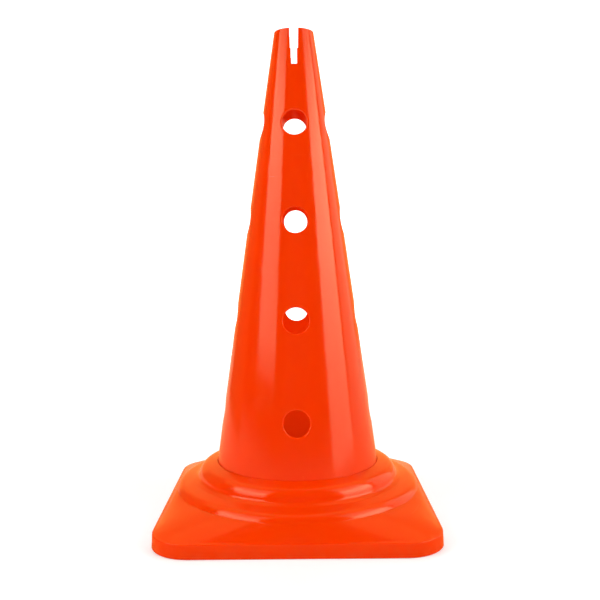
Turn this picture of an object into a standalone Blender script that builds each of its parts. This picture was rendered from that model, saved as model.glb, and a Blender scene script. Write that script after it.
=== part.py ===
"""Hurdle cone: a tall hollow marker cone with pole holes, held in a stepped square base.

Metres, +Z up. The origin lies on the ground under the middle of the base. The slot in the top
runs front to back, along Y. Two pieces: the cone, which ends in a flat foot flange, and the
base, which drops over the cone and rests its collar on that flange.
"""
import math

import bmesh
import bpy
from mathutils import Matrix, Vector

# The cone's outside
CONE_HEIGHT = 0.500
CONE_TOP_RADIUS = 0.0204
CONE_SEAM_RADIUS = 0.0843
CONE_SEAM_HEIGHT = 0.0510
CONE_SWELL = 0.00064
CONE_WALL = 0.0028
RIM_ROUNDING = 0.0012

# The cone's foot flange, which the base sits on
FLANGE_RADIUS = 0.1030
FLANGE_THICKNESS = 0.0028
FLANGE_ROUNDING = 0.0008

# The pole holes
POLE_DIAMETER = 0.0250
POLE_CLEARANCE = 0.0006
LOWEST_HOLE_HEIGHT = 0.1064
TOP_HOLE_DROP = 0.0976
HOLE_LIP_ROUNDING = 0.0018

# The stepped slot in the top of the cone
SLOT_MOUTH_WIDTH = 0.0092
SLOT_WAIST_WIDTH = 0.0084
SLOT_UPPER_DEPTH = 0.0217
SLOT_LOWER_WIDTH = 0.0064
SLOT_DEPTH = 0.0380
SLOT_CORNER_ROUNDING = 0.0007

# The base's lip, and the skirt that falls to it from the round steps
BASE_CORNER_RADIUS = 0.0377
BASE_WALL = 0.0030
LIP_HEIGHT = 0.0134
LIP_DRAFT = 0.0006
LIP_ROUNDING = 0.0008
LIP_SHELF_WIDTH = 0.0003
SKIRT_WIDTH = 0.0103
SKIRT_FALL = 0.0146
SKIRT_FIRST_FALL_SHARE = 0.7

# The two round steps, from the cone outwards: each run's width, its fall and the rounding after it
LEDGE_EDGE_ROUNDING = 0.0005
LEDGE_WIDTH = 0.0172
LEDGE_FALL = 0.0047
SHOULDER_ROUNDING = 0.0125
UPPER_SIDE_WIDTH = 0.0021
UPPER_SIDE_FALL = 0.0102
HOLLOW_ROUNDING = 0.0040
SLOPE_WIDTH = 0.0049
SLOPE_FALL = 0.0023
SLOPE_ROUNDING = 0.0080
TREAD_WIDTH = 0.0150
TREAD_FALL = 0.0033
NOSE_ROUNDING = 0.0120
LOWER_SIDE_WIDTH = 0.0027
LOWER_SIDE_FALL = 0.0056

# The gap between the two pieces, how far a cutter runs past what it cuts, and the merge distance
FIT_GAP = 0.0003
OVERRUN = 0.0100
MERGE = 0.00001

# How far a faceted arc may lie off the true one, and how much of a side two arcs may fill
ARC_ERROR = 0.00015
UNDER_ARC_ERROR = 0.0010
ARC_ROOM_SHARE = 0.96

# Facet counts
HOLE_LEVELS = 4
TURN_SEGMENTS = 72
CONE_RINGS = 6
HOLE_SEGMENTS = 24
HOLE_LIP_STEPS = 3
BASE_SIDE_SEGMENTS = 12
BASE_CORNER_SEGMENTS = 6
SKIRT_RINGS = 3
UNDER_SKIRT_RINGS = 1

# Sizes that follow from the ones above
HOLE_RADIUS = (POLE_DIAMETER + POLE_CLEARANCE) / 2
HOLE_SPACING = (CONE_HEIGHT - TOP_HOLE_DROP - LOWEST_HOLE_HEIGHT) / (HOLE_LEVELS - 1)
COLLAR_FOOT = FLANGE_THICKNESS + FIT_GAP
STEP_FOOT_HEIGHT = LIP_HEIGHT + SKIRT_FALL
LEDGE_HEIGHT = (STEP_FOOT_HEIGHT + LOWER_SIDE_FALL + TREAD_FALL + SLOPE_FALL
                + UPPER_SIDE_FALL + LEDGE_FALL)
STEP_FOOT_RADIUS = (CONE_SEAM_RADIUS + LEDGE_WIDTH + UPPER_SIDE_WIDTH + SLOPE_WIDTH
                    + TREAD_WIDTH + LOWER_SIDE_WIDTH)
BASE_WIDTH = 2 * (STEP_FOOT_RADIUS + SKIRT_WIDTH)
CORNER_CENTRE = BASE_WIDTH / 2 - BASE_CORNER_RADIUS

ORANGE = (0.90, 0.045, 0.004, 1.0)


def cone_radius(height):
    """The cone's outer radius: a straight taper with a slight swell halfway up."""
    share = (height - CONE_SEAM_HEIGHT) / (CONE_HEIGHT - CONE_SEAM_HEIGHT)
    taper = CONE_SEAM_RADIUS + share * (CONE_TOP_RADIUS - CONE_SEAM_RADIUS)
    return taper + CONE_SWELL * 4 * share * (1 - share)


def heights(top, bottom, count):
    """Evenly spaced heights from top to bottom, both included."""
    return [top + (bottom - top) * step / count for step in range(count + 1)]


def rounded_outline(corners, error=ARC_ERROR):
    """The outline through (radius, height, rounding) corners, each rounding cut into facets.

    Roundings that would run into each other along a side are both made smaller.
    """
    places = [Vector(corner[:2]) for corner in corners]
    sides = [after - here for here, after in zip(places, places[1:] + places[:1])]
    turns = [math.atan2(sides[index - 1].cross(side), sides[index - 1].dot(side))
             for index, side in enumerate(sides)]
    reaches = [corner[2] * math.tan(abs(turn) / 2) for corner, turn in zip(corners, turns)]
    rooms = [ARC_ROOM_SHARE * side.length / max(MERGE, reach + reaches[index + 1 - len(sides)])
             for index, (side, reach) in enumerate(zip(sides, reaches))]
    outline = []
    for index, here in enumerate(places):
        rounding = corners[index][2] * min(1, rooms[index - 1], rooms[index])
        if not rounding:
            outline.append(here)
            continue
        turn = turns[index]
        arriving = sides[index - 1].normalized()
        start = here - arriving * rounding * math.tan(abs(turn) / 2)
        side = Vector((-arriving.y, arriving.x)) * math.copysign(rounding, turn)
        centre = start + side
        steps = math.ceil(abs(turn) / (2 * math.acos(1 - min(1, error / rounding))))
        for step in range(steps + 1):
            outline.append(centre + Matrix.Rotation(turn * step / steps, 2) @ -side)
    return outline


def moved_in(run, distance):
    """An open run of points moved square to itself, towards its right-hand side."""
    moved = []
    for index, here in enumerate(run):
        before = run[max(index - 1, 0)]
        after = run[min(index + 1, len(run) - 1)]
        arriving = (here - before).normalized() if index else (after - here).normalized()
        leaving = (after - here).normalized() if index < len(run) - 1 else arriving
        square = Vector((arriving.y + leaving.y, -arriving.x - leaving.x)).normalized()
        lean = square.dot(Vector((arriving.y, -arriving.x)))
        moved.append(here + square * distance / lean)
    return moved


def make_collection(name):
    collection = bpy.data.collections.new(name)
    bpy.context.scene.collection.children.link(collection)
    return collection


def make_plastic(name):
    material = bpy.data.materials.new(name)
    material.use_nodes = True
    shader = material.node_tree.nodes["Principled BSDF"]
    shader.inputs["Base Color"].default_value = ORANGE
    shader.inputs["Roughness"].default_value = 0.22
    shader.inputs["Metallic"].default_value = 0.0
    return material


def add_mesh(name, bm, collection):
    """An object from a bmesh, in a collection."""
    mesh = bpy.data.meshes.new(name)
    bm.to_mesh(mesh)
    bm.free()
    item = bpy.data.objects.new(name, mesh)
    collection.objects.link(item)
    return item


def as_cutter(item):
    item.hide_render = True
    item.display_type = "WIRE"
    return item


def turned(name, outline, collection, closed=True):
    """An outline, outer side first and top to bottom, turned about Z; an open one ends on Z."""
    bm = bmesh.new()
    corners = [bm.verts.new((point.x, 0, point.y)) for point in outline]
    for corner, following in zip(corners, corners[1:]):
        bm.edges.new((corner, following))
    if closed:
        bm.edges.new((corners[-1], corners[0]))
    item = add_mesh(name, bm, collection)
    screw = item.modifiers.new("Turn", "SCREW")
    screw.angle = math.tau
    screw.steps = TURN_SEGMENTS
    screw.render_steps = TURN_SEGMENTS
    screw.use_merge_vertices = True
    screw.merge_threshold = MERGE
    screw.use_smooth_shade = True
    return item


def boolean(item, operation, other):
    """Add a Boolean modifier with another object."""
    modifier = item.modifiers.new(other.name, "BOOLEAN")
    modifier.operation = operation
    modifier.solver = "EXACT"
    modifier.object = other


def step_run(edge_rounding, error):
    """The bore and the outside of the two round steps, from the collar's foot to the skirt."""
    corners = [
        (cone_radius(COLLAR_FOOT) + FIT_GAP, COLLAR_FOOT, 0),
        (cone_radius(LEDGE_HEIGHT) + FIT_GAP, LEDGE_HEIGHT, edge_rounding),
    ]
    radius, height = CONE_SEAM_RADIUS, LEDGE_HEIGHT
    for width, fall, rounding in (
            (LEDGE_WIDTH, LEDGE_FALL, SHOULDER_ROUNDING),
            (UPPER_SIDE_WIDTH, UPPER_SIDE_FALL, HOLLOW_ROUNDING),
            (SLOPE_WIDTH, SLOPE_FALL, SLOPE_ROUNDING),
            (TREAD_WIDTH, TREAD_FALL, NOSE_ROUNDING),
            (LOWER_SIDE_WIDTH, LOWER_SIDE_FALL, 0)):
        radius, height = radius + width, height - fall
        corners.append((radius, height, rounding))
    return rounded_outline(corners, error)


def reach_at(ray, inset):
    """How far the base's outline, moved in by an inset, lies from the axis along a ray."""
    across, along = sorted((abs(math.cos(ray)), abs(math.sin(ray))))
    half = BASE_WIDTH / 2 - inset
    if half * across / along <= CORNER_CENTRE:
        return half / along
    near = CORNER_CENTRE * (along + across)
    rounding = BASE_CORNER_RADIUS - inset
    return near + math.sqrt(near ** 2 - 2 * CORNER_CENTRE ** 2 + rounding ** 2)


def skirt_run(start, end, rings):
    """A run that falls from the foot of the steps to the lip, steeper towards the lip."""
    run = []
    for step in range(1, rings + 1):
        share = step / (rings + 1)
        fall = SKIRT_FIRST_FALL_SHARE * share + (1 - SKIRT_FIRST_FALL_SHARE) * share ** 2
        run.append(Vector((start.x + (end.x - start.x) * share,
                           start.y + (end.y - start.y) * fall)))
    return run


def base_section(ray, outside, under):
    """The base's closed section along a ray: out over the steps and the lip, back underneath."""
    shelf = LIP_DRAFT + LIP_ROUNDING + LIP_SHELF_WIDTH
    lip = rounded_outline([
        (shelf, LIP_HEIGHT, 0),
        (LIP_DRAFT, LIP_HEIGHT, LIP_ROUNDING),
        (0, 0, 0),
        (BASE_WALL, 0, 0),
        (BASE_WALL + shelf, LIP_HEIGHT - BASE_WALL, 0),
    ])
    lip = [Vector((reach_at(ray, point.x), point.y)) for point in lip]
    skirt = skirt_run(outside[-1], lip[0], SKIRT_RINGS)
    under_skirt = skirt_run(under[-1], lip[-1], UNDER_SKIRT_RINGS)
    return outside + skirt + lip + under_skirt[::-1] + under[::-1]


def base_rays():
    """Rays through even steps along the base's straight sides and round its corners."""
    rays = []
    for side in range(4):
        turn = side * math.pi / 2
        for step in range(BASE_SIDE_SEGMENTS):
            along = CORNER_CENTRE * (2 * step / BASE_SIDE_SEGMENTS - 1)
            rays.append(turn + math.atan2(along, BASE_WIDTH / 2))
        for step in range(BASE_CORNER_SEGMENTS):
            angle = math.pi / 2 * step / BASE_CORNER_SEGMENTS
            rays.append(turn + math.atan2(CORNER_CENTRE + BASE_CORNER_RADIUS * math.sin(angle),
                                          CORNER_CENTRE + BASE_CORNER_RADIUS * math.cos(angle)))
    return rays


def make_cone(collection):
    """The cone's turned wall, from the top rim to the foot flange."""
    levels = heights(CONE_HEIGHT, FLANGE_THICKNESS, CONE_RINGS)
    outer = [(cone_radius(level), level, 0) for level in levels]
    outer[0] = (CONE_TOP_RADIUS, CONE_HEIGHT, RIM_ROUNDING)
    flange = [
        (FLANGE_RADIUS, FLANGE_THICKNESS, FLANGE_ROUNDING),
        (FLANGE_RADIUS, 0, 0),
    ]
    inner_levels = heights(0, CONE_HEIGHT, CONE_RINGS)
    inner = [(cone_radius(level) - CONE_WALL, level, 0) for level in inner_levels]
    inner[-1] = (CONE_TOP_RADIUS - CONE_WALL, CONE_HEIGHT, RIM_ROUNDING)
    return turned("cone_body", rounded_outline(outer + flange + inner), collection)


def hole_ring(bm, height, radius, depth, sign):
    """A ring of the hole cutter; it keeps a depth under the cone's curved outside."""
    ring = []
    for step in range(HOLE_SEGMENTS):
        angle = math.tau * (step + 0.5) / HOLE_SEGMENTS
        across = radius * math.cos(angle)
        level = height + radius * math.sin(angle)
        skin = math.sqrt(cone_radius(level) ** 2 - across ** 2)
        ring.append(bm.verts.new((across, -sign * (skin - depth), level)))
    return ring


def hole_cutter(name, height, turn, collection):
    """A round plug through both walls that flares at each end, so the hole gets a rounded lip."""
    bm = bmesh.new()
    rings = []
    for sign in (1, -1):
        lip = []
        for step in range(HOLE_LIP_STEPS + 1):
            angle = math.pi / 2 * step / (HOLE_LIP_STEPS + 0.5)
            radius = HOLE_RADIUS + HOLE_LIP_ROUNDING * (1 - math.cos(angle))
            depth = HOLE_LIP_ROUNDING * (1 - math.sin(angle))
            lip.append((radius, depth))
        last_radius, last_depth = lip[-1]
        before_radius, before_depth = lip[-2]
        lip.append((2 * last_radius - before_radius, 2 * last_depth - before_depth))
        lip.append((lip[-1][0], -OVERRUN))
        if sign > 0:
            lip.reverse()
        for radius, depth in lip:
            rings.append(hole_ring(bm, height, radius, depth, sign))
    for first, second in zip(rings, rings[1:]):
        for step in range(HOLE_SEGMENTS):
            after = (step + 1) % HOLE_SEGMENTS
            bm.faces.new((first[step], second[step], second[after], first[after]))
    bm.faces.new(rings[0])
    bm.faces.new(list(reversed(rings[-1])))
    bmesh.ops.recalc_face_normals(bm, faces=bm.faces)
    item = as_cutter(add_mesh(name, bm, collection))
    item.rotation_euler.z = turn
    return item


def slot_cutter(collection):
    """The stepped slot's outline, drawn as a flat curve and run through front and back walls."""
    step_height = CONE_HEIGHT - SLOT_UPPER_DEPTH
    foot = CONE_HEIGHT - SLOT_DEPTH
    above = CONE_HEIGHT + OVERRUN
    half = [
        (SLOT_MOUTH_WIDTH / 2, above, 0),
        (SLOT_MOUTH_WIDTH / 2, CONE_HEIGHT, 0),
        (SLOT_WAIST_WIDTH / 2, step_height, 0),
        (SLOT_LOWER_WIDTH / 2, step_height, 0),
        (SLOT_LOWER_WIDTH / 2, foot, SLOT_CORNER_ROUNDING),
    ]
    mirrored = [(-across, height, rounding) for across, height, rounding in reversed(half)]
    outline = rounded_outline(half + mirrored)
    curve = bpy.data.curves.new("slot_outline", "CURVE")
    curve.dimensions = "2D"
    curve.fill_mode = "BOTH"
    curve.extrude = cone_radius(foot) + OVERRUN
    spline = curve.splines.new("POLY")
    spline.points.add(len(outline) - 1)
    for point, place in zip(spline.points, outline):
        point.co = (place.x, place.y, 0, 1)
    spline.use_cyclic_u = True
    guide = bpy.data.objects.new("slot_outline", curve)
    collection.objects.link(guide)
    guide.rotation_euler.x = math.pi / 2
    return as_cutter(curve_to_mesh(guide, "slot_cutter", collection))


def curve_to_mesh(guide, name, collection):
    """A welded mesh object in the place of a curve object."""
    bpy.context.view_layer.update()
    evaluated = guide.evaluated_get(bpy.context.evaluated_depsgraph_get())
    mesh = bpy.data.meshes.new_from_object(evaluated)
    bm = bmesh.new()
    bm.from_mesh(mesh)
    bmesh.ops.remove_doubles(bm, verts=bm.verts, dist=MERGE)
    bmesh.ops.recalc_face_normals(bm, faces=bm.faces)
    bm.to_mesh(mesh)
    bm.free()
    item = bpy.data.objects.new(name, mesh)
    collection.objects.link(item)
    item.matrix_world = guide.matrix_world.copy()
    bpy.data.objects.remove(guide)
    return item


def cut_cone(cone, cutters):
    """Four levels of holes through two crossing directions, and the slot in the top."""
    for level in range(HOLE_LEVELS):
        height = LOWEST_HOLE_HEIGHT + level * HOLE_SPACING
        for direction, turn in (("front", 0), ("side", math.pi / 2)):
            name = f"hole_cutter_{direction}_{level + 1}"
            boolean(cone, "DIFFERENCE", hole_cutter(name, height, turn, cutters))
    boolean(cone, "DIFFERENCE", slot_cutter(cutters))


def make_base(collection):
    """The base's shell, lofted from the round steps to the square lip and closed underneath."""
    outside = step_run(LEDGE_EDGE_ROUNDING, ARC_ERROR)
    under = moved_in(step_run(0, UNDER_ARC_ERROR), BASE_WALL)
    bm = bmesh.new()
    columns = []
    for ray in base_rays():
        section = base_section(ray, outside, under)
        columns.append([bm.verts.new((point.x * math.cos(ray), point.x * math.sin(ray), point.y))
                        for point in section])
    for index, column in enumerate(columns):
        following = columns[(index + 1) % len(columns)]
        for step, corner in enumerate(column):
            after = (step + 1) % len(column)
            bm.faces.new((corner, following[step], following[after], column[after]))
    bmesh.ops.recalc_face_normals(bm, faces=bm.faces)
    return add_mesh("base", bm, collection)


def main():
    for item in list(bpy.data.objects):
        bpy.data.objects.remove(item)
    parts = make_collection("hurdle_cone")
    cutters = make_collection("hurdle_cone_cutters")

    base = make_base(parts)
    base.data.materials.append(make_plastic("base_plastic"))

    cone = make_cone(parts)
    cut_cone(cone, cutters)
    cone.data.materials.append(make_plastic("cone_plastic"))
    cone.parent = base

    for item in (base, cone):
        item.data.shade_smooth()
        item.data.set_sharp_from_angle(angle=math.radians(35))


main()
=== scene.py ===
import math

import bmesh
import bpy
from mathutils import Matrix, Vector


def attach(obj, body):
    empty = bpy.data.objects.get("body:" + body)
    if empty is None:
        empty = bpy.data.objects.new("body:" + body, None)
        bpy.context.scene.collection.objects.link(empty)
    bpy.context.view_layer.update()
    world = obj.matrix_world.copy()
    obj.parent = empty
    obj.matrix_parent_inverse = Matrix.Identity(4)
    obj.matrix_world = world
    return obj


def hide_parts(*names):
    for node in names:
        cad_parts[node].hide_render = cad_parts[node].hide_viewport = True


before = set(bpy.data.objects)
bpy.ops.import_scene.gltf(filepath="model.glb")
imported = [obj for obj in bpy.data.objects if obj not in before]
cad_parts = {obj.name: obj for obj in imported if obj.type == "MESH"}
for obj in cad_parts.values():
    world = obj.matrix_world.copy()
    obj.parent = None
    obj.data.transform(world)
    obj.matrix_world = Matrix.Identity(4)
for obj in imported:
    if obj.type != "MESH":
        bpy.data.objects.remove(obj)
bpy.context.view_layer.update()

# The cone, in metres, as in the part's source
CONE_HEIGHT = 0.500
CONE_TOP_RADIUS = 0.0204
CONE_SEAM_RADIUS = 0.0843
CONE_SEAM_HEIGHT = 0.0510
CONE_SWELL = 0.00064
CONE_WALL = 0.0028
RIM_ROUNDING = 0.0012
FLANGE_RADIUS = 0.1030
FLANGE_THICKNESS = 0.0028
FLANGE_ROUNDING = 0.0008
FIT_GAP = 0.0003

# The pole holes and the slot
HOLE_RADIUS = 0.0128
HOLE_LIP_ROUNDING = 0.0018
HOLE_INNER_ROUNDING = 0.0007
LOWEST_HOLE_HEIGHT = 0.1064
TOP_HOLE_DROP = 0.0976
HOLE_LEVELS = 4
HOLE_SPACING = (CONE_HEIGHT - TOP_HOLE_DROP - LOWEST_HOLE_HEIGHT) / (HOLE_LEVELS - 1)
SLOT_MOUTH_WIDTH = 0.0092
SLOT_WAIST_WIDTH = 0.0084
SLOT_UPPER_DEPTH = 0.0217
SLOT_LOWER_WIDTH = 0.0064
SLOT_DEPTH = 0.0380
SLOT_CORNER_ROUNDING = 0.0007
SLOT_EDGE_ROUNDING = 0.00035

# The base's lip, and the skirt that falls to it from the round steps
BASE_CORNER_RADIUS = 0.0377
BASE_WALL = 0.0030
LIP_HEIGHT = 0.0134
LIP_DRAFT = 0.0006
LIP_ROUNDING = 0.0008
LIP_SHELF_WIDTH = 0.0003
LIP_FOOT_ROUNDING = 0.0004
SKIRT_WIDTH = 0.0103
SKIRT_FALL = 0.0146
SKIRT_FIRST_FALL_SHARE = 0.7

# The two round steps, from the cone outwards: each run's width, its fall and the rounding after it
LEDGE_EDGE_ROUNDING = 0.0005
LEDGE_WIDTH = 0.0172
LEDGE_FALL = 0.0047
SHOULDER_ROUNDING = 0.0125
UPPER_SIDE_WIDTH = 0.0021
UPPER_SIDE_FALL = 0.0102
HOLLOW_ROUNDING = 0.0040
SLOPE_WIDTH = 0.0049
SLOPE_FALL = 0.0023
SLOPE_ROUNDING = 0.0080
TREAD_WIDTH = 0.0150
TREAD_FALL = 0.0033
NOSE_ROUNDING = 0.0120
LOWER_SIDE_WIDTH = 0.0027
LOWER_SIDE_FALL = 0.0056

# Sizes that follow from the ones above
LEDGE_HEIGHT = (LIP_HEIGHT + SKIRT_FALL + LOWER_SIDE_FALL + TREAD_FALL + SLOPE_FALL
                + UPPER_SIDE_FALL + LEDGE_FALL)
STEP_FOOT_RADIUS = (CONE_SEAM_RADIUS + LEDGE_WIDTH + UPPER_SIDE_WIDTH + SLOPE_WIDTH
                    + TREAD_WIDTH + LOWER_SIDE_WIDTH)
BASE_WIDTH = 2 * (STEP_FOOT_RADIUS + SKIRT_WIDTH)
CORNER_CENTRE = BASE_WIDTH / 2 - BASE_CORNER_RADIUS

# The holes and the base's sides face four ways, a quarter turn apart
SIDES = 4
QUARTER_TURN = math.pi / 2

# How finely each form is cut. The rings round a hole lie closer together near it.
AROUND_HOLE = 72
HOLE_LIP_STEPS = 6
SKIN_RINGS = 9
SKIN_RING_CROWDING = 1.6
INNER_RINGS = 4
INNER_RING_CROWDING = 1.5
FOOT_RINGS = 6
SIDE_COLUMNS = 28
CORNER_COLUMNS = 12
ARC_STEPS = 8
SMALL_ARC_STEPS = 3
RIM_STEPS = 6
SLOT_EDGE_STEPS = 2
SKIRT_RINGS = 14
LONGEST_PIECE = 0.0015

# How far the slot's plug runs past the cone, and how close two points are when they become one
OVERRUN = 0.0100
MERGE = 0.000001

# Edges sharper than this many degrees are rounded, or shaded as edges
SLOT_EDGE_ANGLE = 50
CONE_EDGE_ANGLE = 42
BASE_EDGE_ANGLE = 50

# The two plastics' colours, each with the one that its clouds and specks deepen to
CONE_ORANGE = (0.855, 0.0395, 0.0, 1)
CONE_DEEP_ORANGE = (0.81, 0.033, 0.0, 1)
BASE_ORANGE = (0.91, 0.043, 0.0, 1)
BASE_DEEP_ORANGE = (0.87, 0.036, 0.0, 1)

# How much of each of the moulded skin's effects this plastic shows
PLASTIC_SKIN = {
    "Clouding": 0.4,
    "Polish": 0.13,
    "Polish change": 0.04,
    "Ripple": 0.06,
    "Speckle": 0.15,
    "Scuffing": 0.5,
    "Edge wear": 0.4,
    "Ground dust": 0.15,
    "Worn colour": (0.95, 0.10, 0.02, 1),
    "Dust colour": (0.75, 0.16, 0.05, 1),
}

# The plastic's gloss, the light that shines through its wall, and the height of its ripple
GLOSS_LEVEL = 0.3
GLOW_THROUGH = 0.35
GLOW_THROUGH_SPREAD = (1, 0.25, 0.05)
GLOW_THROUGH_DEPTH = 0.004
BUMP_HEIGHT = 0.001

# The skin's noises: how many to a metre, how detailed and how rough
CLOUDS = (24, 4, 0.6)
SPECKS = (1400, 1, 0.5)
WORN_PATCHES = (90, 3, 0.6)
GRIME = (130, 5, 0.7)
SMEARS = (60, 5, 0.65)
WAVES = (35, 2, 0.4)
ORANGE_PEEL = (900, 2, 0.5)
MARK_GRAIN = (1, 2, 0.5)
MARKED_AREAS = (14, 2, 0.5)

# Between which levels of its noise each effect comes in
CLOUDS_SPAN = (0.35, 0.7)
SPECKS_SPAN = (0.66, 0.74)
WORN_PATCHES_SPAN = (0.45, 0.65)
GRIME_SPAN = (0.42, 0.7)
SMEARS_SPAN = (0.3, 0.7)
SCRATCHES_SPAN = (0.66, 0.72)
SCUFFS_SPAN = (0.69, 0.76)
MARKED_AREAS_SPAN = (0.5, 0.62)

# Scratches run round the object, scuffs lie across them: how many to a metre each way
SCRATCH_STRETCH = (18, 18, 900)
SCUFF_STRETCH = (260, 260, 40)

# How pointed a worn edge is, and between which heights the dust from the ground fades
EDGE_SPAN = (0.54, 0.62)
DUST_SPAN = (0.001, 0.012)

# What the marks do to the colour, the polish and the surface, and the peel's share of the ripple
MARK_COLOUR_SHARE = 0.25
MATT_CHANGE = 0.25
MARK_DEPTH = 0.012
PEEL_SHARE = 0.05

# The camera, at the photograph's viewpoint: metres, millimetres and degrees
CAMERA_PLACE = (0.0044, -0.823354, 0.284254)
CAMERA_TILT = 88
CAMERA_ROLL = -0.5
CAMERA_SHIFT = -0.05516
FOCAL_LENGTH = 46.956
SENSOR_WIDTH = 36

# The studio's colours. What only the gloss sees is warmer, as in the photograph.
WHITE = (1, 1, 1, 1)
MIRRORED_WARMTH = (1, 0.62, 0.15, 1)
MIRRORED_FLOOR = (1, 0.75, 0.6, 1)
MIRRORED_PAPER = (1.0, 0.36, 0.08, 1)
SOFTBOX_LIGHT = (1, 0.96, 0.58, 1)
INSIDE_LIGHT = (0.55, 1.0, 0.4)
AIR_LIGHT = 0.05

# How the studio's planes lie, as turns about X, Y and Z
FLAT = (0, 0, 0)
UPRIGHT = (QUARTER_TURN, 0, 0)

# The floor and the backdrop: where they stand, how pale their paper is, how much it glows of
# itself where it is looked at, and in reflections near the object and far from it
FLOOR_PLACE = (0, 0, -0.0005)
FLOOR_SIZE = (8, 8)
FLOOR_PALENESS = 0.8
FLOOR_GLOW = 0.32
FLOOR_MIRRORED_GLOW = (0.0, 0.5)
BACKDROP_PLACE = (0, 2.2, 1.5)
BACKDROP_SIZE = (7, 3.4)
BACKDROP_PALENESS = 0.6
BACKDROP_GLOW = 1.0
BACKDROP_MIRRORED_GLOW = (0.55, 0.55)

# Distances from the point under the object's middle: the paper doesn't glow under the object,
# glows plainly from beside it, and turns white far out; its mirrored glow rises over the last pair
BESIDE_SPAN = (0.10, 0.13)
WHITENING_SPAN = (0.60, 1.3)
MIRRORED_SPAN = (0.16, 0.60)

# The softboxes stand round the base and only the gloss sees them. Each has its light's colour and
# strength, the share of it at rising heights, and its corners as (azimuth, elevation) in degrees
# seen from the base, where azimuth 0 is the front and the right is positive.
SOFTBOX_DISTANCE = 1.2
SOFTBOX_MIDDLE = 0.06
SOFTBOXES = (
    ("left_softbox", SOFTBOX_LIGHT, 6.0,
     ((0.22, 0.15), (0.31, 0.55), (0.58, 0.70), (0.85, 0.97), (0.95, 0.88), (1.25, 0.45),
      (1.60, 0.35)),
     ((-36, 8), (-68, 8), (-94, 44), (-101, 51), (-42, 66))),
    ("right_softbox", SOFTBOX_LIGHT, 7.4,
     ((0.00, 0.38), (0.13, 0.42), (0.20, 0.52), (0.30, 0.60), (0.57, 0.94), (0.80, 0.94),
      (0.90, 0.76), (1.15, 0.36), (1.50, 0.30)),
     ((50, -3), (87, -3), (101, 44), (107, 51), (57, 65))),
    ("right_side_panel", SOFTBOX_LIGHT, 1.5,
     ((0.0, 0.6), (0.40, 1)),
     ((90, -3), (134, -3), (134, 42), (108, 42))),
    ("left_side_panel", MIRRORED_WARMTH, 0.5,
     ((0.0, 0.6), (0.54, 1)),
     ((-92, -3), (-138, -3), (-138, 38), (-106, 38))),
)
CEILING_PLACE = (0, 1.3, 2.6)
CEILING_SIZE = (6, 2.4)
CEILING_STRENGTH = 1.4
CEILING_LEVELS = ((0.0, 1), (1.0, 1))

# The lamps that light the object: name, place, what it points at, size and power in watts
SOFT_LAMPS = (
    ("left_fill", (-1.85, -0.8, 1.0), (0, 0, 0.2), (1.4, 1.4), 34),
    ("right_fill", (1.85, -0.8, 1.0), (0, 0, 0.2), (1.4, 1.4), 34),
    ("front_fill", (0, -1.9, 0.6), (0, 0, 0.1), (1.4, 1.2), 5.5),
    ("top_fill", (0, 0.2, 2.2), (0, 0, 0.2), (1.6, 1.6), 13),
    ("back_fill", (0, 1.8, 1.2), (0, 0, 0.2), (1.6, 1.2), 20),
)
INSIDE_LAMP_HEIGHTS = (0.085, 0.165, 0.255, 0.355, 0.445)
INSIDE_LAMP_POWER = 13
INSIDE_LAMP_SIZE = 0.01

# Where Blender's Mix node takes its share and its two colours, and where it gives the result
MIX_INPUTS = (0, 6, 7)
MIX_OUTPUT = 2


def between(first, second, share):
    """The value that lies a share of the way from the first to the second."""
    return first + (second - first) * share


def cone_radius(height):
    """The cone's outer radius: a straight taper with a slight swell, fullest halfway up."""
    share = (height - CONE_SEAM_HEIGHT) / (CONE_HEIGHT - CONE_SEAM_HEIGHT)
    taper = CONE_SEAM_RADIUS + share * (CONE_TOP_RADIUS - CONE_SEAM_RADIUS)
    return taper + CONE_SWELL * 4 * share * (1 - share)


def rounded_outline(corners, steps):
    """The outline through (radius, height, rounding) corners, each rounded corner cut in steps."""
    outline = []
    for index, (radius, height, rounding) in enumerate(corners):
        here = Vector((radius, height))
        if not rounding:
            outline.append(here)
            continue
        before = Vector(corners[index - 1][:2])
        after = Vector(corners[(index + 1) % len(corners)][:2])
        arriving = (here - before).normalized()
        leaving = (after - here).normalized()
        turn = math.atan2(arriving.cross(leaving), arriving.dot(leaving))
        start = here - arriving * rounding * math.tan(abs(turn) / 2)
        side = Vector((-arriving.y, arriving.x)) * math.copysign(rounding, turn)
        for step in range(steps + 1):
            outline.append(start + side + Matrix.Rotation(turn * step / steps, 2) @ -side)
    return outline


def moved_in(run, distance):
    """An open run of points moved square to itself, towards its right-hand side."""
    moved = []
    for index, here in enumerate(run):
        before = run[max(index - 1, 0)]
        after = run[min(index + 1, len(run) - 1)]
        arriving = (here - before).normalized() if index else (after - here).normalized()
        leaving = (after - here).normalized() if index < len(run) - 1 else arriving
        square = Vector((arriving.y + leaving.y, -arriving.x - leaving.x)).normalized()
        lean = square.dot(Vector((arriving.y, -arriving.x)))
        moved.append(here + square * distance / lean)
    return moved


def bridge(bm, first, second):
    """A closed band of quads between two equal rings of vertices."""
    count = len(first)
    for step in range(count):
        after = (step + 1) % count
        bm.faces.new((first[step], second[step], second[after], first[after]))


def object_from(name, bm):
    """The mesh that has been built, as an object in the scene."""
    mesh = bpy.data.meshes.new(name)
    bm.to_mesh(mesh)
    bm.free()
    item = bpy.data.objects.new(name, mesh)
    bpy.context.scene.collection.objects.link(item)
    return item


def new_piece(name, bm, replaced, material):
    """A smooth piece of the object that stands for a CAD node."""
    bmesh.ops.remove_doubles(bm, verts=bm.verts, dist=MERGE)
    bmesh.ops.recalc_face_normals(bm, faces=bm.faces)
    piece = object_from(name, bm)
    piece.data.materials.append(material)
    piece.data.shade_smooth()
    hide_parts(replaced)
    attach(piece, "root")
    return piece


# The cone's wall is made of cells, one round each pole hole, with plain bands above and below

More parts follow.
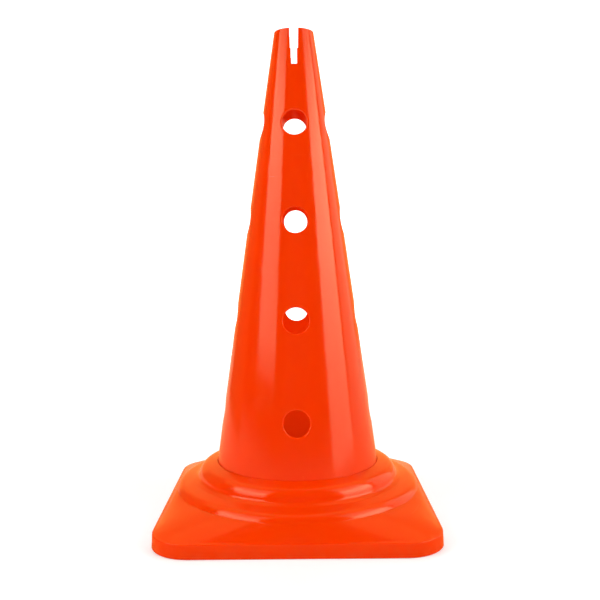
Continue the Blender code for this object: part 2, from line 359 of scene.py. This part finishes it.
def on_skin(turn, height, inset):
    """A point on the cone's outer skin, or an inset under it."""
    radius = cone_radius(height) - inset
    return Vector((radius * math.cos(turn), radius * math.sin(turn), height))


def cell_edge(spoke):
    """A point on the edge of a square cell: shares of its half width and half height."""
    side = round(spoke / QUARTER_TURN) % SIDES
    slide = (spoke - side * QUARTER_TURN) / (QUARTER_TURN / 2)
    slide = slide - 2 * SIDES if slide > SIDES else slide
    return ((1, slide), (-slide, 1), (-1, -slide), (slide, -1))[side]


def hole_ring(bm, facing, level, radius, inset, depth):
    """A ring round a hole's axis that keeps its depth under the outer or inner skin."""
    ring = []
    for step in range(AROUND_HOLE):
        spoke = math.tau * step / AROUND_HOLE
        across = radius * math.cos(spoke)
        height = level + radius * math.sin(spoke)
        reach = math.sqrt((cone_radius(height) - inset) ** 2 - across ** 2) - depth
        place = Matrix.Rotation(facing, 3, "Z") @ Vector((reach, across, height))
        ring.append(bm.verts.new(place))
    return ring


def skin_ring(bm, facing, level, radius, inset, share):
    """A ring on the skin, a share of the way from the hole's lip to the edge of its cell."""
    ring = []
    for step in range(AROUND_HOLE):
        spoke = math.tau * step / AROUND_HOLE
        lift = level + radius * math.sin(spoke)
        swing = math.asin(radius * math.cos(spoke) / (cone_radius(lift) - inset))
        wide, high = cell_edge(spoke)
        turn = between(swing, wide * QUARTER_TURN / 2, share)
        height = between(lift, level + high * HOLE_SPACING / 2, share)
        ring.append(bm.verts.new(on_skin(facing + turn, height, inset)))
    return ring


def hole_cell(bm, facing, level):
    """The wall round one hole: over the inner skin, through the hole and over the outer skin."""
    rings = []
    inner_lip = HOLE_RADIUS + HOLE_INNER_ROUNDING
    for step in range(INNER_RINGS, 0, -1):
        share = (step / INNER_RINGS) ** INNER_RING_CROWDING
        rings.append(skin_ring(bm, facing, level, inner_lip, CONE_WALL, share))
    for step in range(SMALL_ARC_STEPS + 1):
        angle = QUARTER_TURN * (1 - step / SMALL_ARC_STEPS)
        radius = HOLE_RADIUS + HOLE_INNER_ROUNDING * (1 - math.cos(angle))
        depth = -HOLE_INNER_ROUNDING * (1 - math.sin(angle))
        rings.append(hole_ring(bm, facing, level, radius, CONE_WALL, depth))
    for step in range(HOLE_LIP_STEPS + 1):
        angle = QUARTER_TURN * step / HOLE_LIP_STEPS
        radius = HOLE_RADIUS + HOLE_LIP_ROUNDING * (1 - math.cos(angle))
        depth = HOLE_LIP_ROUNDING * (1 - math.sin(angle))
        rings.append(hole_ring(bm, facing, level, radius, 0, depth))
    outer_lip = HOLE_RADIUS + HOLE_LIP_ROUNDING
    for step in range(1, SKIN_RINGS + 1):
        share = (step / SKIN_RINGS) ** SKIN_RING_CROWDING
        rings.append(skin_ring(bm, facing, level, outer_lip, 0, share))
    for first, second in zip(rings, rings[1:]):
        bridge(bm, first, second)


def turned_band(bm, run):
    """A run of (radius, height) points turned about the cone's axis, to meet the cells' edges."""
    rows = []
    for point in run:
        row = []
        for step in range(AROUND_HOLE):
            turn = math.tau * step / AROUND_HOLE
            row.append(bm.verts.new((point.x * math.cos(turn), point.x * math.sin(turn), point.y)))
        rows.append(row)
    for first, second in zip(rows, rows[1:]):
        bridge(bm, first, second)


def skin_run(start, end, inset):
    """A run along the cone's skin from one height to another, or an inset under it."""
    heights = [between(start, end, step / FOOT_RINGS) for step in range(FOOT_RINGS + 1)]
    return [Vector((cone_radius(height) - inset, height)) for height in heights]


def uncut_cone():
    """The whole cone but for its slot, as one closed body."""
    bm = bmesh.new()
    for level in range(HOLE_LEVELS):
        for side in range(SIDES):
            hole_cell(bm, side * QUARTER_TURN, LOWEST_HOLE_HEIGHT + level * HOLE_SPACING)
    cells_foot = LOWEST_HOLE_HEIGHT - HOLE_SPACING / 2
    cells_top = LOWEST_HOLE_HEIGHT + (HOLE_LEVELS - 0.5) * HOLE_SPACING
    rim = rounded_outline([
        (cone_radius(cells_top), cells_top, 0),
        (CONE_TOP_RADIUS, CONE_HEIGHT, RIM_ROUNDING),
        (CONE_TOP_RADIUS - CONE_WALL, CONE_HEIGHT, RIM_ROUNDING),
        (cone_radius(cells_top) - CONE_WALL, cells_top, 0),
    ], RIM_STEPS)
    turned_band(bm, rim)
    flange = rounded_outline([
        (cone_radius(FLANGE_THICKNESS), FLANGE_THICKNESS, 0),
        (FLANGE_RADIUS, FLANGE_THICKNESS, FLANGE_ROUNDING),
        (FLANGE_RADIUS, 0, 0),
        (cone_radius(0) - CONE_WALL, 0, 0),
    ], SMALL_ARC_STEPS)
    down_outside = skin_run(cells_foot, FLANGE_THICKNESS, 0)
    up_inside = skin_run(0, cells_foot, CONE_WALL)
    turned_band(bm, down_outside[:-1] + flange + up_inside[1:])
    return bm


def slot_plug():
    """A solid the shape of the stepped slot, through the front and back walls."""
    step_height = CONE_HEIGHT - SLOT_UPPER_DEPTH
    foot = CONE_HEIGHT - SLOT_DEPTH
    half = [
        (SLOT_MOUTH_WIDTH / 2, CONE_HEIGHT + OVERRUN, 0),
        (SLOT_MOUTH_WIDTH / 2, CONE_HEIGHT, 0),
        (SLOT_WAIST_WIDTH / 2, step_height, 0),
        (SLOT_LOWER_WIDTH / 2, step_height, 0),
        (SLOT_LOWER_WIDTH / 2, foot, SLOT_CORNER_ROUNDING),
    ]
    other_half = [(-across, height, rounding) for across, height, rounding in reversed(half)]
    outline = rounded_outline(half + other_half, SMALL_ARC_STEPS)
    reach = cone_radius(foot) + OVERRUN
    bm = bmesh.new()
    front = [bm.verts.new((point.x, -reach, point.y)) for point in outline]
    back = [bm.verts.new((point.x, reach, point.y)) for point in outline]
    bridge(bm, front, back)
    bm.faces.new(front)
    bm.faces.new(list(reversed(back)))
    bmesh.ops.recalc_face_normals(bm, faces=bm.faces)
    return object_from("slot_plug", bm)


def apply_modifiers(piece):
    """Keep the evaluated mesh as the piece's own."""
    bpy.context.view_layer.update()
    evaluated = piece.evaluated_get(bpy.context.evaluated_depsgraph_get())
    mesh = bpy.data.meshes.new_from_object(evaluated)
    piece.modifiers.clear()
    piece.data = mesh


def make_cone(material):
    """The cone with its holes, its slot cut through the top and the slot's edges softened."""
    cone = new_piece("cone_wall", uncut_cone(), "cone_body", material)
    plug = slot_plug()
    cut = cone.modifiers.new("slot", "BOOLEAN")
    cut.operation = "DIFFERENCE"
    cut.solver = "EXACT"
    cut.object = plug
    soften = cone.modifiers.new("soft edges", "BEVEL")
    soften.width = SLOT_EDGE_ROUNDING
    soften.segments = SLOT_EDGE_STEPS
    soften.limit_method = "ANGLE"
    soften.angle_limit = math.radians(SLOT_EDGE_ANGLE)
    apply_modifiers(cone)
    bpy.data.objects.remove(plug)
    cone.data.shade_smooth()
    cone.data.set_sharp_from_angle(angle=math.radians(CONE_EDGE_ANGLE))


# The base is a shell whose section is followed along rays from the cone's axis

def reach_at(ray, inset):
    """How far the base's outline, moved in by an inset, lies from the axis along a ray."""
    along, across = sorted((abs(math.cos(ray)), abs(math.sin(ray))), reverse=True)
    half = BASE_WIDTH / 2 - inset
    if half * across / along <= CORNER_CENTRE:
        return half / along
    rounding = BASE_CORNER_RADIUS - inset
    near = CORNER_CENTRE * (along + across)
    return near + math.sqrt(near ** 2 - 2 * CORNER_CENTRE ** 2 + rounding ** 2)


def in_short_pieces(run):
    """The same run, with points added where two lie far apart."""
    pieces = [run[0]]
    for here, after in zip(run, run[1:]):
        count = math.ceil((after - here).length / LONGEST_PIECE)
        pieces += [here.lerp(after, step / count) for step in range(1, count + 1)]
    return pieces


def step_run(edge_rounding):
    """The bore and the outside of the two round steps, from the collar's foot to the skirt."""
    foot = FLANGE_THICKNESS + FIT_GAP
    corners = [
        (cone_radius(foot) + FIT_GAP, foot, 0),
        (cone_radius(LEDGE_HEIGHT) + FIT_GAP, LEDGE_HEIGHT, edge_rounding),
    ]
    radius, height = CONE_SEAM_RADIUS, LEDGE_HEIGHT
    for width, fall, rounding in (
            (LEDGE_WIDTH, LEDGE_FALL, SHOULDER_ROUNDING),
            (UPPER_SIDE_WIDTH, UPPER_SIDE_FALL, HOLLOW_ROUNDING),
            (SLOPE_WIDTH, SLOPE_FALL, SLOPE_ROUNDING),
            (TREAD_WIDTH, TREAD_FALL, NOSE_ROUNDING),
            (LOWER_SIDE_WIDTH, LOWER_SIDE_FALL, 0)):
        radius, height = radius + width, height - fall
        corners.append((radius, height, rounding))
    return rounded_outline(corners, ARC_STEPS)


def skirt_run(start, end):
    """A run that falls from the foot of the steps to the lip, steeper towards the lip."""
    run = []
    for step in range(1, SKIRT_RINGS + 1):
        share = step / (SKIRT_RINGS + 1)
        fall = SKIRT_FIRST_FALL_SHARE * share + (1 - SKIRT_FIRST_FALL_SHARE) * share ** 2
        run.append(Vector((between(start.x, end.x, share), between(start.y, end.y, fall))))
    return run


def base_rays():
    """Rays through even steps along the base's outline, closer together round its corners."""
    rays = []
    for side in range(SIDES):
        turn = side * QUARTER_TURN
        for step in range(SIDE_COLUMNS):
            slide = between(-CORNER_CENTRE, CORNER_CENTRE, step / SIDE_COLUMNS)
            rays.append(turn + math.atan2(slide, BASE_WIDTH / 2))
        for step in range(CORNER_COLUMNS):
            angle = QUARTER_TURN * step / CORNER_COLUMNS
            rays.append(turn + math.atan2(
                CORNER_CENTRE + BASE_CORNER_RADIUS * math.sin(angle),
                CORNER_CENTRE + BASE_CORNER_RADIUS * math.cos(angle)))
    return rays


def base_section(ray, outside, under):
    """The base's closed section along a ray: out over the steps and the lip, back underneath."""
    shelf = LIP_DRAFT + LIP_ROUNDING + LIP_SHELF_WIDTH
    lip = rounded_outline([
        (shelf, LIP_HEIGHT, 0),
        (LIP_DRAFT, LIP_HEIGHT, LIP_ROUNDING),
        (0, 0, LIP_FOOT_ROUNDING),
        (BASE_WALL, 0, LIP_FOOT_ROUNDING),
        (BASE_WALL + shelf, LIP_HEIGHT - BASE_WALL, 0),
    ], SMALL_ARC_STEPS)
    lip = [Vector((reach_at(ray, point.x), point.y)) for point in lip]
    skirt = skirt_run(outside[-1], lip[0])
    under_skirt = skirt_run(under[-1], lip[-1])
    return outside + skirt + lip + under_skirt[::-1] + under[::-1]


def make_base(material):
    """The base's shell, lofted from the round steps to the square lip and closed underneath."""
    outside = in_short_pieces(step_run(LEDGE_EDGE_ROUNDING))
    under = moved_in(step_run(0), BASE_WALL)
    bm = bmesh.new()
    columns = []
    for ray in base_rays():
        section = base_section(ray, outside, under)
        columns.append([bm.verts.new((point.x * math.cos(ray), point.x * math.sin(ray), point.y))
                        for point in section])
    for index, column in enumerate(columns):
        bridge(bm, column, columns[(index + 1) % len(columns)])
    base = new_piece("base_shell", bm, "base", material)
    base.data.set_sharp_from_angle(angle=math.radians(BASE_EDGE_ANGLE))


# Nodes that the materials are put together from

def add_node(tree, kind, **settings):
    """A new node with its settings."""
    node = tree.nodes.new(kind)
    for name, value in settings.items():
        setattr(node, name, value)
    return node


def feed(tree, value, socket):
    """Another node's output, or a plain value, into a socket."""
    if isinstance(value, bpy.types.NodeSocket):
        tree.links.new(value, socket)
    else:
        socket.default_value = value


def maths(tree, operation, *values):
    """The result of a calculation on two or three values."""
    node = add_node(tree, "ShaderNodeMath", operation=operation)
    for value, socket in zip(values, node.inputs):
        feed(tree, value, socket)
    return node.outputs[0]


def scaled(tree, value, low, high, to_low, to_high):
    """A value mapped from one range to another, and held inside it."""
    node = add_node(tree, "ShaderNodeMapRange")
    feed(tree, value, node.inputs["Value"])
    feed(tree, low, node.inputs["From Min"])
    feed(tree, high, node.inputs["From Max"])
    feed(tree, to_low, node.inputs["To Min"])
    feed(tree, to_high, node.inputs["To Max"])
    return node.outputs["Result"]


def mixed(tree, share, first, second):
    """The first colour with a share of the second in it."""
    node = add_node(tree, "ShaderNodeMix", data_type="RGBA")
    for value, number in zip((share, first, second), MIX_INPUTS):
        feed(tree, value, node.inputs[number])
    return node.outputs[MIX_OUTPUT]


def height_of(tree, place):
    """How high a place lies."""
    split = add_node(tree, "ShaderNodeSeparateXYZ")
    feed(tree, place, split.inputs[0])
    return split.outputs["Z"]


def noise(tree, place, grain):
    """A noise of a grain: its scale, its detail and its roughness."""
    node = add_node(tree, "ShaderNodeTexNoise")
    feed(tree, place, node.inputs["Vector"])
    for name, value in zip(("Scale", "Detail", "Roughness"), grain):
        feed(tree, value, node.inputs[name])
    return node.outputs["Fac"]


def noise_mask(tree, place, grain, span, most=1):
    """A mask that rises from 0 to its most as the noise goes through a span."""
    return scaled(tree, noise(tree, place, grain), *span, 0, most)


def group_tree(name, inputs, outputs):
    """An empty node group with named inputs and outputs, (name, kind) each."""
    tree = bpy.data.node_groups.new(name, "ShaderNodeTree")
    for way, sockets in (("INPUT", inputs), ("OUTPUT", outputs)):
        for socket, kind in sockets:
            tree.interface.new_socket(name=socket, in_out=way, socket_type=f"NodeSocket{kind}")
    given = add_node(tree, "NodeGroupInput").outputs
    out = add_node(tree, "NodeGroupOutput").inputs
    return tree, given, out


# The plastic

def thin_marks(tree, place, stretch, span):
    """Thin marks: the peaks of a noise stretched one way, in some areas alone."""
    mapping = add_node(tree, "ShaderNodeMapping")
    feed(tree, place, mapping.inputs["Vector"])
    feed(tree, stretch, mapping.inputs["Scale"])
    peaks = noise_mask(tree, mapping.outputs[0], MARK_GRAIN, span)
    areas = noise_mask(tree, place, MARKED_AREAS, MARKED_AREAS_SPAN)
    return maths(tree, "MULTIPLY", peaks, areas)


def moulded_skin_group():
    """A moulded skin: clouds and specks in the pigment, ripple, scratches, worn edges and dust."""
    tree, given, out = group_tree("moulded_skin", (
        ("Colour", "Color"),
        ("Deep colour", "Color"),
        ("Clouding", "Float"),
        ("Polish", "Float"),
        ("Polish change", "Float"),
        ("Ripple", "Float"),
        ("Speckle", "Float"),
        ("Scuffing", "Float"),
        ("Edge wear", "Float"),
        ("Ground dust", "Float"),
        ("Worn colour", "Color"),
        ("Dust colour", "Color"),
    ), (
        ("Colour", "Color"),
        ("Roughness", "Float"),
        ("Height", "Float"),
    ))
    place = add_node(tree, "ShaderNodeTexCoord").outputs["Object"]
    clouds = noise_mask(tree, place, CLOUDS, CLOUDS_SPAN, given["Clouding"])
    specks = noise_mask(tree, place, SPECKS, SPECKS_SPAN, given["Speckle"])

    scratches = thin_marks(tree, place, SCRATCH_STRETCH, SCRATCHES_SPAN)
    scuffs = thin_marks(tree, place, SCUFF_STRETCH, SCUFFS_SPAN)
    marks = maths(tree, "MULTIPLY", maths(tree, "MAXIMUM", scratches, scuffs), given["Scuffing"])

    pointed = add_node(tree, "ShaderNodeNewGeometry").outputs["Pointiness"]
    edges = scaled(tree, pointed, *EDGE_SPAN, 0, 1)
    patches = noise_mask(tree, place, WORN_PATCHES, WORN_PATCHES_SPAN)
    wear = maths(tree, "MULTIPLY", maths(tree, "MULTIPLY", edges, patches), given["Edge wear"])

    low = scaled(tree, height_of(tree, place), *DUST_SPAN, 1, 0)
    grime = noise_mask(tree, place, GRIME, GRIME_SPAN)
    dust = maths(tree, "MULTIPLY", maths(tree, "MULTIPLY", low, grime), given["Ground dust"])

    colour = mixed(tree, clouds, given["Colour"], given["Deep colour"])
    colour = mixed(tree, specks, colour, given["Deep colour"])
    colour = mixed(tree, wear, colour, given["Worn colour"])
    mark_colour = maths(tree, "MULTIPLY", marks, MARK_COLOUR_SHARE)
    colour = mixed(tree, mark_colour, colour, given["Worn colour"])
    feed(tree, mixed(tree, dust, colour, given["Dust colour"]), out["Colour"])

    smears = scaled(tree, noise(tree, place, SMEARS), *SMEARS_SPAN, -1, 1)
    polish = maths(tree, "MULTIPLY_ADD", smears, given["Polish change"], given["Polish"])
    matt = maths(tree, "MAXIMUM", maths(tree, "MAXIMUM", wear, dust), marks)
    feed(tree, maths(tree, "MULTIPLY_ADD", matt, MATT_CHANGE, polish), out["Roughness"])

    waves = noise(tree, place, WAVES)
    peel = noise(tree, place, ORANGE_PEEL)
    ripple = maths(tree, "MULTIPLY_ADD", peel, PEEL_SHARE, waves)
    ripple = maths(tree, "MULTIPLY", ripple, given["Ripple"])
    feed(tree, maths(tree, "MULTIPLY_ADD", marks, -MARK_DEPTH, ripple), out["Height"])
    return tree


def make_plastic(name, skin, colour, deep_colour):
    """Glossy moulded plastic that lets a little light through, with the moulded skin on it."""
    material = bpy.data.materials.new(name)
    material.use_nodes = True
    tree = material.node_tree
    shader = tree.nodes["Principled BSDF"]
    shader.inputs["Specular IOR Level"].default_value = GLOSS_LEVEL
    shader.inputs["Subsurface Weight"].default_value = GLOW_THROUGH
    shader.inputs["Subsurface Radius"].default_value = GLOW_THROUGH_SPREAD
    shader.inputs["Subsurface Scale"].default_value = GLOW_THROUGH_DEPTH
    group = add_node(tree, "ShaderNodeGroup", node_tree=skin)
    group.inputs["Colour"].default_value = colour
    group.inputs["Deep colour"].default_value = deep_colour
    for effect, value in PLASTIC_SKIN.items():
        group.inputs[effect].default_value = value
    bump = add_node(tree, "ShaderNodeBump")
    bump.inputs["Strength"].default_value = 1
    bump.inputs["Distance"].default_value = BUMP_HEIGHT
    feed(tree, group.outputs["Height"], bump.inputs["Height"])
    feed(tree, group.outputs["Colour"], shader.inputs["Base Color"])
    feed(tree, group.outputs["Roughness"], shader.inputs["Roughness"])
    feed(tree, bump.outputs["Normal"], shader.inputs["Normal"])
    return material


# The studio

def looked_at(tree, path):
    """1 for a ray straight from the camera, or through something clear, and 0 for the others."""
    straight, through = path.outputs["Is Camera Ray"], path.outputs["Is Transmission Ray"]
    return maths(tree, "MAXIMUM", straight, through)


def paper_material(name, paleness, glow, mirrored_glow, mirrored_colour):
    """Pale matt paper: it glows to white where it is looked at, and more warmly in the gloss."""
    material = bpy.data.materials.new(name)
    material.use_nodes = True
    tree = material.node_tree
    shader = tree.nodes["Principled BSDF"]
    shader.inputs["Roughness"].default_value = 1
    shader.inputs["Specular IOR Level"].default_value = 0
    path = add_node(tree, "ShaderNodeLightPath")
    in_gloss = path.outputs["Is Glossy Ray"]
    pale = (paleness, paleness, paleness, 1)
    feed(tree, mixed(tree, in_gloss, pale, MIRRORED_PAPER), shader.inputs["Base Color"])
    feed(tree, mixed(tree, in_gloss, WHITE, mirrored_colour), shader.inputs["Emission Color"])

    length = add_node(tree, "ShaderNodeVectorMath", operation="LENGTH")
    feed(tree, add_node(tree, "ShaderNodeNewGeometry").outputs["Position"], length.inputs[0])
    distance = length.outputs["Value"]
    beside = scaled(tree, distance, *BESIDE_SPAN, 0, glow)
    far_out = scaled(tree, distance, *WHITENING_SPAN, 0, 1 - glow)
    plain = maths(tree, "MULTIPLY", looked_at(tree, path), maths(tree, "ADD", beside, far_out))
    reflected = scaled(tree, distance, *MIRRORED_SPAN, *mirrored_glow)
    mirrored = maths(tree, "MULTIPLY", in_gloss, reflected)
    feed(tree, maths(tree, "MAXIMUM", plain, mirrored), shader.inputs["Emission Strength"])
    return material


def panel_material(name, colour, strength, levels):
    """Light that changes with height: (height, share) pairs from low to high."""
    material = bpy.data.materials.new(name)
    material.use_nodes = True
    tree = material.node_tree
    tree.nodes.clear()
    height = height_of(tree, add_node(tree, "ShaderNodeNewGeometry").outputs["Position"])
    share = levels[0][1]
    for (low, before), (high, after) in zip(levels, levels[1:]):
        share = maths(tree, "ADD", share, scaled(tree, height, low, high, 0, after - before))
    emission = add_node(tree, "ShaderNodeEmission")
    feed(tree, colour, emission.inputs["Color"])
    feed(tree, maths(tree, "MULTIPLY", share, strength), emission.inputs["Strength"])
    out = add_node(tree, "ShaderNodeOutputMaterial")
    feed(tree, emission.outputs[0], out.inputs["Surface"])
    return material


def stage_plane(name, place, turn, size, material):
    """A flat rectangle of the studio."""
    bm = bmesh.new()
    bmesh.ops.create_grid(bm, x_segments=1, y_segments=1, size=0.5)
    bmesh.ops.scale(bm, vec=Vector((size[0], size[1], 1)), verts=bm.verts)
    plane = object_from(name, bm)
    plane.data.materials.append(material)
    plane.location = place
    plane.rotation_euler = turn
    return plane


def only_in_gloss(panel):
    """Only reflections see this panel: it gives no other light and casts no shadow."""
    panel.visible_camera = False
    panel.visible_diffuse = False
    panel.visible_shadow = False


def softbox(name, colour, strength, levels, corners):
    """A panel between directions seen from the base, for the long highlights on the plastic."""
    bm = bmesh.new()
    for azimuth, elevation in corners:
        turn, lift = math.radians(azimuth), math.radians(elevation)
        bm.verts.new((SOFTBOX_DISTANCE * math.sin(turn), -SOFTBOX_DISTANCE * math.cos(turn),
                      SOFTBOX_MIDDLE + SOFTBOX_DISTANCE * math.tan(lift)))
    bm.faces.new(bm.verts)
    panel = object_from(name, bm)
    panel.data.materials.append(panel_material(f"{name}_light", colour, strength, levels))
    only_in_gloss(panel)


def hang_lamp(lamp, place):
    """A lamp that lights the object and doesn't show, in the gloss either."""
    item = bpy.data.objects.new(lamp.name, lamp)
    item.location = place
    item.visible_camera = False
    item.visible_glossy = False
    bpy.context.scene.collection.objects.link(item)
    return item


def inside_lamps():
    """Small lamps along the axis: they stand for the light that comes through the thin wall."""
    for number, height in enumerate(INSIDE_LAMP_HEIGHTS):
        lamp = bpy.data.lights.new(f"inside_lamp_{number}", "POINT")
        lamp.energy = INSIDE_LAMP_POWER * cone_radius(height) ** 2
        lamp.shadow_soft_size = INSIDE_LAMP_SIZE
        lamp.color = INSIDE_LIGHT
        hang_lamp(lamp, (0, 0, height))


def soft_lamps():
    """The large lamps round the object."""
    for name, place, target, size, power in SOFT_LAMPS:
        lamp = bpy.data.lights.new(name, "AREA")
        lamp.shape = "RECTANGLE"
        lamp.size, lamp.size_y = size
        lamp.energy = power
        item = hang_lamp(lamp, place)
        aim = Vector(target) - Vector(place)
        item.rotation_euler = aim.to_track_quat("-Z", "Y").to_euler()


def make_world():
    """White air where it is looked at, and a faint warm light for every other ray."""
    world = bpy.data.worlds.new("studio")
    world.use_nodes = True
    tree = world.node_tree
    shown = looked_at(tree, add_node(tree, "ShaderNodeLightPath"))
    background = tree.nodes["Background"]
    feed(tree, scaled(tree, shown, 0, 1, AIR_LIGHT, 1), background.inputs["Strength"])
    feed(tree, mixed(tree, shown, MIRRORED_WARMTH, WHITE), background.inputs["Color"])
    bpy.context.scene.world = world


def make_studio():
    """The pale floor and backdrop, the panels for the gloss, and the lamps."""
    make_world()
    floor = paper_material("floor_paper", FLOOR_PALENESS, FLOOR_GLOW,
                           FLOOR_MIRRORED_GLOW, MIRRORED_FLOOR)
    stage_plane("floor", FLOOR_PLACE, FLAT, FLOOR_SIZE, floor)
    backdrop = paper_material("backdrop_paper", BACKDROP_PALENESS, BACKDROP_GLOW,
                              BACKDROP_MIRRORED_GLOW, MIRRORED_WARMTH)
    stage_plane("backdrop", BACKDROP_PLACE, UPRIGHT, BACKDROP_SIZE, backdrop)
    for panel in SOFTBOXES:
        softbox(*panel)
    ceiling = panel_material("ceiling_panel_light", MIRRORED_WARMTH,
                             CEILING_STRENGTH, CEILING_LEVELS)
    only_in_gloss(stage_plane("ceiling_panel", CEILING_PLACE, FLAT, CEILING_SIZE, ceiling))
    inside_lamps()
    soft_lamps()


def make_camera():
    """The photograph's viewpoint."""
    camera = bpy.data.cameras.new("camera")
    camera.sensor_width = SENSOR_WIDTH
    camera.lens = FOCAL_LENGTH
    camera.shift_y = CAMERA_SHIFT
    item = bpy.data.objects.new("camera", camera)
    tilt = Matrix.Rotation(math.radians(CAMERA_TILT), 4, "X")
    roll = Matrix.Rotation(math.radians(CAMERA_ROLL), 4, "Z")
    item.matrix_world = Matrix.Translation(CAMERA_PLACE) @ (tilt @ roll)
    bpy.context.scene.collection.objects.link(item)
    bpy.context.scene.camera = item


bpy.context.scene.view_settings.view_transform = "Standard"
make_camera()
skin = moulded_skin_group()
make_cone(make_plastic("cone_plastic", skin, CONE_ORANGE, CONE_DEEP_ORANGE))
make_base(make_plastic("base_plastic", skin, BASE_ORANGE, BASE_DEEP_ORANGE))
make_studio()
